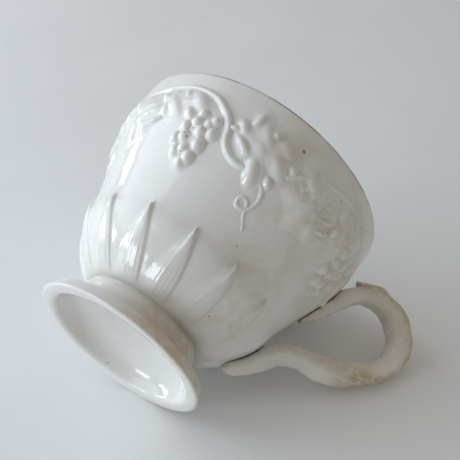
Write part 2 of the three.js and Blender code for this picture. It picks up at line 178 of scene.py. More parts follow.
# Shares of the drop, the stand-off from the wall, the thickness and the width, from the upper end on
HANDLE_STATIONS = (
    (0.45, 0.02, 0.2, 0.35),
    (0.32, 0.06, 0.55, 0.7),
    (0.146, 0.105, 0.76, 0.9),
    (0.036, 0.262, 0.74, 0.96),
    (-0.006, 0.48, 0.86, 1.02),
    (0.024, 0.715, 1, 1.05),
    (0.135, 0.91, 1.06, 1.05),
    (0.265, 1, 1, 1),
    (0.37, 1, 0.95, 0.98),
    (0.455, 0.925, 0.95, 0.98),
    (0.55, 0.77, 1.05, 1.02),
    (0.612, 0.59, 0.98, 1),
    (0.643, 0.38, 0.84, 0.9),
    (0.7, 0.205, 0.86, 0.92),
    (0.8, 0.105, 0.86, 0.92),
    (0.905, 0.08, 0.74, 0.84),
    (0.975, 0.066, 0.52, 0.64),
    (1, 0.058, 0.1, 0.16),
)
HANDLE_TWIST = 40
TWIST_STATIONS = (8.6, 11.2)
# Furrows round the twig: height, waves and turn along it; swellings along it: height, waves and start
TWIG_FURROWS = ((0.02, 3, 0.7), (0.014, 7, -1.3))
TWIG_SWELLINGS = ((0.02, 4.1, 0), (0.015, 9.7, 1))
TWIG_GRAIN_LENGTH = 12
KNOT_STATION = 9.7
KNOT_TURN = math.radians(84)
KNOT_HEIGHT = 0.26
KNOT_LENGTH = 0.2
KNOT_BREADTH = 0.26
# Cut spur: shares of the drop and the stand-off, and of the spur's radius
SPUR_RADIUS = 1.25
SPUR_STATIONS = ((0.02, 0.66, 1.3), (-0.069, 0.445, 1.2), (-0.037, 0.267, 1), (0, 0.12, 0.7))
SPUR_RINGS = 30
SPUR_SIDES = 14
SPUR_STAIN = 0.85
SPUR_GRAIN = 20
# Tan stretches of the twig: first and last station, least and added stain, and where it grows outwards
TWIG_STAINS = (
    (2.6, 6.4, 0.3, 0.7, -0.1, 0.6),
    (6.4, 9, 0, 1, 0.35, 0.8),
    (8.6, 10.4, 0.5, 0.45, -0.2, 0.4),
    (10.4, 13.4, 0, 0.3, 0.25, -0.35),
)
TWIG_STAIN_FADE = 0.6
UPPER_END_STAIN = 0.25
UPPER_END_STATIONS = (1.6, 3)
LOWER_END_STAIN = 0.05
LOWER_END_STATIONS = (12.8, 14)

# Vine garland: places are degrees from the bunch and millimetres above the garland's middle line
GARLAND_Z = RIM_Z - 22
GARLAND_PHASE = -33
GARLAND_REPEATS = 4
# Repeat whose large leaf gives way to the handle
HANDLE_REPEAT = 2
SPRIG_GRID = 0.25
SPRIG_MARGIN = 1.6
SPRIG_SINK = 0.12
SPRIG_HIDDEN = 0.8
SPRIG_BACK = 0.9
# Darkening in the hollows of the sprigs: dirt and painted shade
SPRIG_CAVITY_REACH = 0.8
SPRIG_CAVITY_DEPTH = 0.22
SPRIG_CAVITY_LIFT = (-0.1, 0.15)
# Sprigs that were pressed on lightly, with their share of the relief
FAINT_SPRIGS = {"vine_leaf_4": 0.4, "tendril_4": 0.4}
GLAZE_FILLET = 0.65
FAR_BELOW = -9.0
GRAPE_WIDTH = 4.6
GRAPE_LENGTH = 5
GRAPE_RELIEF = 2
GRAPE_FILLET = 0.35
# Places of each grape, with its share of the size
GRAPES = (
    (-2, 6.4, 0.8), (4.4, 5.6, 0.85), (-2.4, 3.4, 0.95), (2.4, 4, 0.8), (-6.2, 1.4, 0.95),
    (0.8, 1.2, 1), (5.4, 1.8, 0.9), (-4.6, -1.6, 1), (2.6, -2.4, 1.05), (-8.2, -2.6, 0.9),
    (-2.2, -4.8, 1), (-5.6, -5.8, 0.95), (1.2, -6.4, 1), (-1, -8.4, 0.8),
)
STEM_WIDTH = 2.7
STEM_RELIEF = 1.1
STEM_TAPER = 0.25
STEM_POINTS = 260
STEM_ROUTE = (
    (-51, 4), (-45, 8), (-38, 11.2), (-28, 13.4), (-14, 14.6), (-3, 13.4), (2.8, 11), (7.3, 8.2),
    (9.8, 5.6), (10.8, 3), (12.8, 0.7), (16.2, -1), (20, -1.7), (23, -1.5), (25.4, -0.6),
)
# How far the start of a stem has sunk in the glaze, and along which part of it
STEM_SUNK = 0.3
FIRST_STEM_SUNK = 0.6
SUNK_PART = (0.48, 0.06)
TENDRIL_WIDTH = 1.15
TENDRIL_RELIEF = 0.3
TENDRIL_TAPER = 0.6
TENDRIL_ROUTE = (
    (31, -1.5), (34.2, -3), (36, -4.8), (36.5, -7), (35.4, -9.3), (33.4, -10.3), (31.5, -10.5), (29.9, -10),
    (29.4, -8.9), (30.2, -7.9), (31.9, -7.7), (33.5, -8.3), (34.6, -9.9), (35.8, -11.6), (37.6, -13),
    (39.4, -14.4),
)
LEAF_RELIEF = 0.85
LEAF_CORE = 0.85
LEAF_OUTLINE_FILLET = 0.8
LEAF_OUTSIDE = 3
LEAF_LUMP = 0.05
LEAF_LUMP_WAVES = ((1.3, 0.7), (-0.5, 1.1))
LEAF_REACH = 2
LOBE_RELIEF = 1.2
LOBE_ANGLE = 36
LOBE_FILLET = 0.55
# Long domes: both ends, the width and the share of the relief
DOME_OVERRUN = 0.2
BUNCH_MOUND = (-2.4, 6.4, -1.4, -8.4, 9, 0.85)
# Leaves: the middle, the tips of the lobes, and the raised lobes as long domes
BUNCH_LEAF = (
    (-13, 9),
    ((-26.5, 11.4), (-24.5, 4), (-15.5, 1.8), (-4, 4), (1, 8.6)),
    (
        (-10.6, 12.4, -2.6, 7.4, 5.4, 1.25), (-21.6, 10.4, -12, 3.4, 5, 1.2),
        (-21.4, 6.6, -20, 3.6, 3.4, 1), (-9.6, 6.6, -6, 4, 3.4, 1.25),
        (-24.8, 10.6, -22.5, 8, 3, 0.95), (-14.6, 12.6, -13, 10, 2.6, 1),
    ),
)
SIDE_LEAF = (
    (-35, 4.4),
    ((-45.5, 9.8), (-46.5, 1.6), (-38.5, -4.4), (-27.5, -2.6), (-23, 6)),
    (
        (-37, 6, -45, 9.4, 4.2, 0.7), (-36, 2.6, -46, 1.4, 5, 0.65), (-34, 3.4, -37.6, -4, 5.4, 0.75),
        (-31.5, 1.5, -28, -2.4, 4, 0.7), (-32.6, 6.4, -25, 5, 4.4, 0.6), (-40.5, 4.6, -36, 7.4, 1.7, 0.95),
        (-38.4, 3, -27, 7.4, 2, 1.1), (-33.5, 2.2, -22.6, 5.6, 2, 1.1), (-28.8, -0.2, -20.6, 2.8, 2, 0.9),
    ),
)
VINE_LEAF = (
    (25, 5),
    ((13.4, 8.6), (17.6, 15.2), (26, 13.6), (35.5, 12), (39, 3.4), (30.5, -4.4), (19.5, 0.4)),
    (
        (14.6, 4.8, 22.2, 1.7, 3.2, 1.3), (12.8, 9.6, 17, 6.4, 3.2, 1.05), (18.2, 14.8, 17.6, 9.6, 3, 1.05),
        (21.2, 12, 26.4, 6.6, 4.4, 1.05), (24.6, 2.2, 28.8, -4.2, 4.8, 1.5), (30.4, 5.8, 37.4, 2, 4.6, 1.2),
        (33, 0.3, 35.8, -1.9, 2.6, 0.95), (25.4, 11.8, 27.4, 10.4, 2.8, 1.1),
        (38, 6.8, 40.5, 5.4, 2.8, 0.9), (9.6, 6, 14, 7, 1.8, 0.9),
        (29, 10.4, 35, 9.6, 4.4, 0.9), (22, 6.8, 27, 3.6, 4.4, 1.05),
    ),
)

# Colours and finish of the glaze and of the table
GLAZE_IOR = 1.52
RIPPLE_SCALE = 130.0
RIPPLE_HEIGHT = 0.0006
TABLE_ROUGHNESS = 0.55
GLAZE_WHITE = (0.8, 0.79, 0.765, 1)
GLAZE_CREAM = (0.72, 0.69, 0.63, 1)
# Beige of age stains, also painted as shade over the foot's flange
AGE_AND_SHADE_BEIGE = (0.62, 0.53, 0.4, 1)
TWIG_CREAM = (0.78, 0.73, 0.63, 1)
TWIG_TAN = (0.55, 0.43, 0.27, 1)
DIRT_BROWN = (0.13, 0.095, 0.06, 1)
# Brown of dirt and painted shade in hollows and creases
GRIME_AND_SHADE = (0.4, 0.33, 0.24, 1)
DUST_OCHRE = (0.48, 0.39, 0.25, 1)
# Dark green of glaze pooled at the hollow's lip, darkened as painted shade
POOLED_GLAZE_AND_SHADE = (0.2, 0.27, 0.26, 1)
CRACK_BROWN = (0.05, 0.032, 0.018, 1)
TABLE_PALE = (0.87, 0.87, 0.875, 1)
TABLE_LIGHT = (0.89, 0.89, 0.895, 1)
# Old stains: azimuth, distance from the axis, height and reach
STAIN_PLACES = (
    (38, 44, 62, 30), (62, 42, 50, 26), (38, 28, 22, 18), (5, 44, 64, 16), (35, 26, 4, 20),
    (24, 36, 38, 26),
)
# Dust that settled in the relief, in the same terms
DUST_PLACES = ((26, 43, 57, 9), (35, 43, 56, 8), (14, 43, 57.5, 7), (44, 43, 60, 7))
# Single dark pinholes in the wall: azimuth, height and reach
PINHOLE_PLACES = (
    (4.6, 66.3, 0.85), (-7.1, 64.9, 0.5), (9.6, 34.6, 0.4), (46.2, 16.2, 0.5), (54.3, 47.5, 0.45),
    (28.9, 65.2, 0.5), (4.3, 58.4, 0.55), (6.6, 59.1, 0.4), (-5.2, 63.6, 0.4), (17, 57.6, 0.45),
    (33.8, 53.5, 0.5), (54.8, 54.2, 0.45), (55.2, 48, 0.5),
)
# Pinholes on the first bunch: garland place and reach
BUNCH_PINHOLES = (
    (-3.8, 2.2, 0.42), (-4, 1.4, 0.4), (-2.4, 1.4, 0.42), (-4.4, 0.6, 0.36), (-3.4, 0, 0.4),
    (-2.6, -0.2, 0.34), (-2.8, -1.6, 0.46), (-1.8, -0.6, 0.38), (-4, -0.8, 0.34), (1.6, 2, 0.4),
    (-2, -6, 0.38), (-2, -6.8, 0.36),
)
PINHOLE_EDGE = (0.15, 0.6)
# How strongly each mark shows
CLOUD_SHARE = 0.5
STAIN_SHARE = 0.48
CRAZING_SHARE = 0.06
DUST_SHARE = 0.6
SPARSE_PINHOLE_SHARE = 0.7
PINHOLE_SHARE = 0.85
CRACKLE_SHARE = 0.14

# Table and camera, about the cup's axis
TABLE_UP = Vector((0.793, -0.533, 0.296)).normalized()
TABLE_SIDE = 3000
CAMERA_PLACE = Vector((284.8, -16.1, -86.0))
CAMERA_AIM = Vector((0, 3.9, 53.9))
CAMERA_UP = Vector((0.836, -0.509, 0.206))
CAMERA_LENS = 78.26
CAMERA_SENSOR = 36
CAMERA_CLIP = 0.01

# Lights: side, height over the table and way beyond the cup; then distance, size, power and colour
WINDOW_BLUE = (0.78, 0.89, 1.0)
DAY_BLUE = (0.76, 0.87, 1.0)
LIGHTS = {
    "far_window": ((-0.93, 0.12, 0.33), 0.8, (0.58, 0.11), 2.2, WINDOW_BLUE),
    "near_window": ((-0.86, 0.2, -0.47), 0.8, (0.28, 0.22), 1.6, WINDOW_BLUE),
    "daylight": ((-0.78, 0.6, 0.16), 0.7, (0.8, 0.5), 2.4, DAY_BLUE),
}
ROOM_CREAM = (1.0, 0.97, 0.91, 1)
ROOM_STRENGTH = 0.362


# Curves and soft shapes

def bezier(start, first, last, end, steps):
    """Points of a cubic curve."""
    t = np.linspace(0, 1, steps + 1)[:, None]
    start, first, last, end = (np.array(p, float) for p in (start, first, last, end))
    return start * (1 - t) ** 3 + 3 * first * t * (1 - t) ** 2 + 3 * last * t ** 2 * (1 - t) + end * t ** 3


def swell(low, high, pulls, steps):
    """Curve of (radius, height) points between two places, with its pulls given as shares of the way."""
    low, high = np.array(low, float), np.array(high, float)
    first, last = (low + np.array(pull) * (high - low) for pull in pulls)
    return bezier(low, first, last, high, steps)


def spline(stations, count):
    """Smooth curve through all stations."""
    p = np.array(stations, float)
    p = np.vstack([2 * p[0] - p[1], p, 2 * p[-1] - p[-2]])
    t = np.linspace(0, len(stations) - 1, count)
    i = np.minimum(t.astype(int), len(stations) - 2)
    f = (t - i)[:, None]
    a, b, c, d = p[i], p[i + 1], p[i + 2], p[i + 3]
    bend = 2 * a - 5 * b + 4 * c - d
    change = 3 * b - a - 3 * c + d
    return b + (c - a) * f / 2 + bend * f ** 2 / 2 + change * f ** 3 / 2


def smooth_step(low, high, value):
    t = np.clip((value - low) / (high - low), 0, 1)
    return t * t * (3 - 2 * t)


def bell(value, width):
    return np.exp(-(value / width) ** 2)


def soft_max(a, b, soft):
    """The larger of two heights, with a fillet between them."""
    return (a + b + np.sqrt((a - b) ** 2 + soft ** 2)) / 2


# Wall of the bowl

NECK = (NECK_RADIUS, NECK_Z)
RIM_EDGE = (RIM_RADIUS, RIM_Z - LIP_THICKNESS / 2)
OUTER_WALL = np.vstack([
    swell(NECK, BELLY, BULB_PULLS, BULB_STEPS),
    swell(BELLY, SHOULDER, FLARE_PULLS, FLARE_STEPS)[1:],
    swell(SHOULDER, RIM_EDGE, UPRIGHT_PULLS, UPRIGHT_STEPS)[1:],
])


def wall_radius(z):
    return np.interp(z, OUTER_WALL[:, 1], OUTER_WALL[:, 0])


GARLAND_DEGREE = math.radians(1) * float(wall_radius(GARLAND_Z))


def hand_wobble(azimuth, z):
    """How far a hand-finished wall strays from a true round."""
    a = np.radians(azimuth)
    return sum(height * np.sin(waves * a + drift * z + start) for height, waves, drift, start in WOBBLES)


def on_wall(azimuth, z, lift):
    """Places on the outer wall, lifted along its normal."""
    a = np.radians(azimuth)
    slope = (wall_radius(z + SLOPE_STEP) - wall_radius(z - SLOPE_STEP)) / (2 * SLOPE_STEP)
    lean = 1 / np.sqrt(1 + slope ** 2)
    radius = wall_radius(z) + hand_wobble(azimuth, z) + lift * lean
    return np.stack([radius * np.cos(a), radius * np.sin(a), z - lift * slope * lean], axis=-1)


def calyx_rise(azimuth, z):
    """Height of the calyx leaves over the wall: crisp on their right edges and soft on their left."""
    up = z - NECK_Z
    pitch = 360 / CALYX_LEAVES
    aside = (azimuth - CALYX_PHASE + pitch / 2) % pitch - pitch / 2
    half = CALYX_COVER * pitch / 2 * (1 - np.clip(up / CALYX_HEIGHT, 0, 1) ** CALYX_TAPER)
    inside = (half - np.abs(aside)) * np.radians(wall_radius(z))
    edge = smooth_step(0, np.where(aside > 0, CALYX_CRISP_EDGE, CALYX_SOFT_EDGE), inside)
    across = np.clip(aside / np.maximum(half, CALYX_LEAST_HALF), -1, 1)
    crown = 1 - np.abs(across) ** CALYX_CROWN
    ribs = sum(
        height * np.cos(waves * math.tau * across + lean * up + start)
        for height, waves, lean, start in CALYX_RIBS
    )
    body = CALYX_RELIEF * (CALYX_EDGE_SHARE + (1 - CALYX_EDGE_SHARE) * crown)
    return edge * (body + ribs * crown) * smooth_step(0, CALYX_FADE * CALYX_HEIGHT, up)


# Meshes

def places(bm):
    return np.array([v.co for v in bm.verts])


def round_places(bm):
    """Places of the vertices with their distances from the axis, azimuths and heights."""
    co = places(bm)
    azimuth = np.degrees(np.arctan2(co[:, 1], co[:, 0]))
    return co, np.hypot(co[:, 0], co[:, 1]), azimuth, co[:, 2]


def put(bm, coords):
    for v, place in zip(bm.verts, coords):
        v.co = place


def widen(bm, co, share):
    """Moves each vertex from the axis by its own share."""
    put(bm, np.stack([co[:, 0] * share, co[:, 1] * share, co[:, 2]], axis=-1))


def paint(bm, name, values):
    """Stores a value at each vertex for the materials."""
    layer = bm.verts.layers.float.new(name)
    for v, value in zip(bm.verts, values):
        v[layer] = value


def spun(profile, steps):
    """Closed body of revolution from a profile that starts and ends on the axis."""
    bm = bmesh.new()
    verts = [bm.verts.new((radius, 0, z)) for radius, z in profile]
    edges = [bm.edges.new(pair) for pair in zip(verts, verts[1:])]
    bmesh.ops.spin(
        bm, geom=verts + edges, cent=(0, 0, 0), axis=(0, 0, 1), angle=math.tau, steps=steps, use_merge=True
    )
    bmesh.ops.remove_doubles(bm, verts=bm.verts, dist=TOUCH)
    bmesh.ops.recalc_face_normals(bm, faces=bm.faces)
    return bm


def finish_piece(name, bm, material, slot, *nodes):
    """Sets a mesh made about the cup's axis in the frame, where it stands for CAD nodes."""
    bmesh.ops.translate(bm, vec=AXIS, verts=bm.verts)
    bmesh.ops.scale(bm, vec=(MM, MM, MM), verts=bm.verts)
    mesh = bpy.data.meshes.new(name)
    bm.to_mesh(mesh)
    bm.free()
    mesh.shade_smooth()
    mesh.materials.append(material)
    piece = bpy.data.objects.new(name, mesh)
    bpy.context.scene.collection.objects.link(piece)
    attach(piece, "root")
    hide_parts(*nodes)


# Nodes

def node(tree, kind, inputs=None, **settings):
    """New node with its settings, and with its inputs set to values or linked to sockets."""
    made = tree.nodes.new(kind)
    for name, value in settings.items():
        setattr(made, name, value)
    for key, value in (inputs or {}).items():
        if isinstance(value, bpy.types.NodeSocket):
            tree.links.new(value, made.inputs[key])
        else:
            made.inputs[key].default_value = value
    return made


def math_node(tree, operation, a, b=0.0):
    return node(tree, "ShaderNodeMath", {0: a, 1: b}, operation=operation).outputs[0]


def times(tree, a, b):
    return math_node(tree, "MULTIPLY", a, b)


def largest(tree, masks):
    result = masks[0]
    for mask in masks[1:]:
        result = math_node(tree, "MAXIMUM", result, mask)
    return result


def ramp(tree, value, low, high, start=0.0, end=1.0):
    """Smooth passage from start to end while a value goes from low to high."""
    inputs = {"Value": value, "From Min": low, "From Max": high, "To Min": start, "To Max": end}
    return node(tree, "ShaderNodeMapRange", inputs, interpolation_type="SMOOTHSTEP").outputs["Result"]


def mix_colour(tree, factor, a, b):
    return node(tree, "ShaderNodeMix", {0: factor, 6: a, 7: b}, data_type="RGBA").outputs[2]


def attribute(tree, name):
    return node(tree, "ShaderNodeAttribute", attribute_name=name).outputs["Fac"]


def new_group(name, vector_inputs, value_inputs):
    """Node group with named inputs and a mask as its output, given back as tree, inputs and mask."""
    tree = bpy.data.node_groups.new(name, "ShaderNodeTree")
    for socket in vector_inputs:
        tree.interface.new_socket(socket, in_out="INPUT", socket_type="NodeSocketVector")
    for socket in value_inputs:
        tree.interface.new_socket(socket, in_out="INPUT", socket_type="NodeSocketFloat")
    tree.interface.new_socket("Mask", in_out="OUTPUT", socket_type="NodeSocketFloat")
    start = tree.nodes.new("NodeGroupInput")
    end = tree.nodes.new("NodeGroupOutput")
    return tree, start.outputs, end.inputs["Mask"]


def use_group(tree, group, inputs):
    return node(tree, "ShaderNodeGroup", inputs, node_tree=group).outputs["Mask"]


def make_mottle_group(softness=0.14):
    """Cloudy patches of a given size; cover is the share of the surface that they take."""
    tree, given, mask = new_group("glaze_mottle", ["Vector"], ["Size", "Cover"])
    scale = math_node(tree, "DIVIDE", 1.0, given["Size"])
    shape = {"Vector": given["Vector"], "Scale": scale, "Detail": 5.0, "Roughness": 0.6, "Distortion": 0.4}
    cloud = node(tree, "ShaderNodeTexNoise", shape).outputs["Fac"]
    middle = math_node(tree, "SUBTRACT", 1.0, given["Cover"])
    low = math_node(tree, "SUBTRACT", middle, softness)
    high = math_node(tree, "ADD", middle, softness)
    tree.links.new(ramp(tree, cloud, low, high), mask)
    return tree


def make_crazing_group(bend=0.8):
    """Fine crackle lines in the glaze, bent by a share of their cells."""
    tree, given, mask = new_group("glaze_crazing", ["Vector"], ["Cell", "Line"])
    scale = math_node(tree, "DIVIDE", 1.0, given["Cell"])
    wander = node(
        tree, "ShaderNodeTexNoise", {"Vector": given["Vector"], "Scale": scale, "Detail": 2.0}
    ).outputs["Color"]
    reach = times(tree, given["Cell"], bend)
    shift = node(tree, "ShaderNodeVectorMath", {0: wander, "Scale": reach}, operation="SCALE").outputs[0]
    bent = node(
        tree, "ShaderNodeVectorMath", {0: given["Vector"], 1: shift}, operation="ADD"
    ).outputs[0]
    edge = node(
        tree, "ShaderNodeTexVoronoi", {"Vector": bent, "Scale": scale}, feature="DISTANCE_TO_EDGE"
    ).outputs["Distance"]
    tree.links.new(ramp(tree, edge, 0.0, given["Line"], start=1.0, end=0.0), mask)
    return tree


def make_pinhole_group(bare=0.72, core=0.35, least=0.02):
    """Sparse specks where gas broke through the glaze; bare is the share of cells without one."""
    tree, given, mask = new_group("glaze_pinholes", ["Vector"], ["Cell", "Speck"])
    scale = math_node(tree, "DIVIDE", 1.0, given["Cell"])
    cells = node(tree, "ShaderNodeTexVoronoi", {"Vector": given["Vector"], "Scale": scale})
    luck = node(tree, "ShaderNodeSeparateColor", {0: cells.outputs["Color"]}).outputs[0]
    chosen = ramp(tree, luck, bare, 1.0)
    size = times(tree, given["Speck"], chosen)
    speck = ramp(tree, cells.outputs["Distance"], times(tree, size, core), size, start=1.0, end=0.0)
    kept = math_node(tree, "GREATER_THAN", chosen, least)
    tree.links.new(times(tree, speck, kept), mask)
    return tree


def make_patch_group():
    """Soft round patch about a place."""
    tree, given, mask = new_group("soft_patch", ["Vector", "Place"], ["Reach"])
    away = node(
        tree, "ShaderNodeVectorMath", {0: given["Vector"], 1: given["Place"]}, operation="DISTANCE"
    ).outputs["Value"]
    tree.links.new(ramp(tree, away, 0.0, given["Reach"], start=1.0, end=0.0), mask)
    return tree


MOTTLE = make_mottle_group()
CRAZING = make_crazing_group()
PINHOLES = make_pinhole_group()
PATCH = make_patch_group()


def mottle(tree, place, size, cover):
    return use_group(tree, MOTTLE, {"Vector": place, "Size": size, "Cover": cover})


def crazing(tree, place, cell, line):
    return use_group(tree, CRAZING, {"Vector": place, "Cell": cell, "Line": line})


def pinholes(tree, place, cell, speck):
    return use_group(tree, PINHOLES, {"Vector": place, "Cell": cell, "Speck": speck})


def patches(tree, place, spots):
    """Soft patches about places in the frame, each with its reach in millimetres."""
    return largest(tree, [
        use_group(tree, PATCH, {"Vector": place, "Place": spot, "Reach": reach * MM})
        for spot, reach in spots
    ])


# Materials

def in_frame(azimuth, radius, z):
    """Place about the cup's axis, in metres in the frame."""
    a = math.radians(azimuth)
    return tuple((Vector((radius * math.cos(a), radius * math.sin(a), z)) + AXIS) * MM)


def on_first_bunch(degree, up):
    """Place on the grapes of the first bunch, in metres in the frame."""
    _, rise_at = bunch_shape()
    lift = rise_at(np.array(degree * GARLAND_DEGREE), np.array(up))
    return tuple((Vector(on_wall(GARLAND_PHASE + degree, GARLAND_Z + up, lift)) + AXIS) * MM)


def start_material(name):
    material = bpy.data.materials.new(name)
    material.use_nodes = True
    tree = material.node_tree
    shader = tree.nodes["Principled BSDF"]
    place = node(tree, "ShaderNodeTexCoord").outputs["Object"]
    return material, tree, shader, place


def glaze_bump(tree, place, pits, strength):
    """Slow ripples of the glaze with pits sunk in it, each to its depth."""
    height = node(
        tree, "ShaderNodeTexNoise", {"Vector": place, "Scale": RIPPLE_SCALE, "Detail": 2.0}
    ).outputs["Fac"]
    for pit, depth in pits:
        height = math_node(tree, "SUBTRACT", height, times(tree, pit, depth))
    return node(
        tree, "ShaderNodeBump", {"Strength": strength, "Distance": RIPPLE_HEIGHT, "Height": height}
    ).outputs["Normal"]


def make_white_glaze():
    material, tree, shader, place = start_material("white_glaze")
    cloud = mottle(tree, place, size=0.03, cover=0.45)
    colour = mix_colour(tree, times(tree, cloud, CLOUD_SHARE), GLAZE_WHITE, GLAZE_CREAM)

    # Stains of age, carried over the foot's flange as painted shade, the glaze pooled in the foot and
    # darkened as painted shade, and the crackle
    stained = patches(tree, place, [(in_frame(*spot), reach) for *spot, reach in STAIN_PLACES])
    blotch = mottle(tree, place, size=0.009, cover=0.5)
    stain = times(tree, stained, blotch)
    colour = mix_colour(tree, times(tree, stain, STAIN_SHARE), colour, AGE_AND_SHADE_BEIGE)
    colour = mix_colour(tree, attribute(tree, "pool_and_shade"), colour, POOLED_GLAZE_AND_SHADE)
    speckle = mottle(tree, place, size=0.0026, cover=0.5)
    uneven = ramp(tree, math_node(tree, "ADD", blotch, speckle), 0.0, 2.0, start=0.4, end=0.95)
    colour = mix_colour(tree, times(tree, attribute(tree, "age_and_shade"), uneven), colour, AGE_AND_SHADE_BEIGE)
    craze = crazing(tree, place, cell=0.004, line=0.05)
    colour = mix_colour(tree, times(tree, craze, CRAZING_SHARE), colour, AGE_AND_SHADE_BEIGE)

    # Dirt on the rim; dirt and painted shade in the cavities of the relief and in the crease over the foot
    rim = times(tree, attribute(tree, "rim"), ramp(tree, blotch, 0.0, 0.7, start=0.35, end=1.0))
    colour = mix_colour(tree, rim, colour, DIRT_BROWN)
    dirt_and_shade = attribute(tree, "dirt_and_shade")
    recess_darkening = times(tree, dirt_and_shade, ramp(tree, stained, 0.0, 0.8, start=0.18, end=0.22))
    colour = mix_colour(tree, recess_darkening, colour, GRIME_AND_SHADE)
    seam = times(tree, attribute(tree, "crease"), ramp(tree, stained, 0.0, 0.6, start=0.25, end=0.7))
    colour = mix_colour(tree, seam, colour, GRIME_AND_SHADE)
    dusty = patches(tree, place, [(in_frame(*spot), reach) for *spot, reach in DUST_PLACES])
    dust = times(tree, dusty, mottle(tree, place, size=0.0019, cover=0.48))
    colour = mix_colour(tree, times(tree, dust, DUST_SHARE), colour, DUST_OCHRE)

    # Pinholes: sparse ones all over, fine ones in the stains and single ones at their places
    sparse = times(tree, pinholes(tree, place, cell=0.011, speck=0.06), SPARSE_PINHOLE_SHARE)
    fine = pinholes(tree, place, cell=0.0034, speck=0.14)
    fine = times(tree, fine, ramp(tree, stained, 0.3, 0.8, start=0.0, end=0.85))
    spots = [(in_frame(azimuth, float(wall_radius(z)), z), reach) for azimuth, z, reach in PINHOLE_PLACES]
    spots += [(on_first_bunch(degree, up), reach) for degree, up, reach in BUNCH_PINHOLES]
    single = ramp(tree, patches(tree, place, spots), *PINHOLE_EDGE)
    pits = largest(tree, [sparse, fine, single])
    colour = mix_colour(tree, times(tree, pits, PINHOLE_SHARE), colour, DIRT_BROWN)

    tree.links.new(colour, shader.inputs["Base Color"])
    worn = largest(tree, [stain, dirt_and_shade, rim])
    tree.links.new(ramp(tree, worn, 0.0, 1.0, start=0.1, end=0.3), shader.inputs["Roughness"])
    bump = glaze_bump(tree, place, [(pits, 0.6), (craze, 0.02)], strength=0.25)
    tree.links.new(bump, shader.inputs["Normal"])
    shader.inputs["IOR"].default_value = GLAZE_IOR
    return material


def make_stained_glaze():
    material, tree, shader, place = start_material("stained_glaze")
    twig = node(tree, "ShaderNodeAttribute", attribute_name="twig_grain").outputs["Vector"]
    cloud = mottle(tree, place, size=0.008, cover=0.5)
    colour = mix_colour(tree, ramp(tree, cloud, 0.0, 1.0, start=0.2, end=0.8), GLAZE_WHITE, TWIG_CREAM)

    # Stains that soaked in along the twig, and its crackle
    streak = mottle(tree, twig, size=0.32, cover=0.52)
    grain = mottle(tree, place, size=0.0022, cover=0.5)
    stain = attribute(tree, "stain")
    soak = ramp(tree, math_node(tree, "ADD", streak, grain), 0.2, 1.8, start=0.35, end=1.0)
    soaked = times(tree, stain, soak)
    colour = mix_colour(tree, soaked, colour, TWIG_TAN)
    crackle = times(tree, crazing(tree, place, cell=0.0019, line=0.1), stain)
    colour = mix_colour(tree, times(tree, crackle, CRACKLE_SHARE), colour, DIRT_BROWN)

    # Damp and the crack at the joints, by the distance from the wall
    joint = attribute(tree, "joint")
    damp = ramp(tree, joint, 0.4, 3.0, start=1.0, end=0.0)
    damp = times(tree, damp, ramp(tree, grain, 0.1, 0.9, start=0.05, end=0.35))
    colour = mix_colour(tree, damp, colour, TWIG_TAN)
    crack = ramp(tree, joint, 0.2, 0.65, start=1.0, end=0.0)
    crack = times(tree, crack, ramp(tree, cloud, 0.0, 0.6, start=0.7, end=1.0))
    colour = mix_colour(tree, crack, colour, CRACK_BROWN)

    tree.links.new(colour, shader.inputs["Base Color"])
    worn = largest(tree, [soaked, crack])
    tree.links.new(ramp(tree, worn, 0.0, 1.0, start=0.14, end=0.45), shader.inputs["Roughness"])
    bump = glaze_bump(tree, place, [(crackle, 0.2), (streak, 0.3)], strength=0.4)
    tree.links.new(bump, shader.inputs["Normal"])
    shader.inputs["IOR"].default_value = GLAZE_IOR
    return material


def make_table_paint():
    """Pale paint, seen only from above so that a view from below the table shows the cup."""
    material, tree, shader, place = start_material("table_paint")
    cloud = mottle(tree, place, size=0.05, cover=0.5)
    tree.links.new(mix_colour(tree, cloud, TABLE_PALE, TABLE_LIGHT), shader.inputs["Base Color"])
    shader.inputs["Roughness"].default_value = TABLE_ROUGHNESS
    clear = node(tree, "ShaderNodeBsdfTransparent").outputs[0]
    behind = node(tree, "ShaderNodeNewGeometry").outputs["Backfacing"]
    shown = node(tree, "ShaderNodeMixShader", {0: behind, 1: shader.outputs[0], 2: clear}).outputs[0]
    tree.links.new(shown, tree.nodes["Material Output"].inputs["Surface"])
    return material


# Bowl and foot

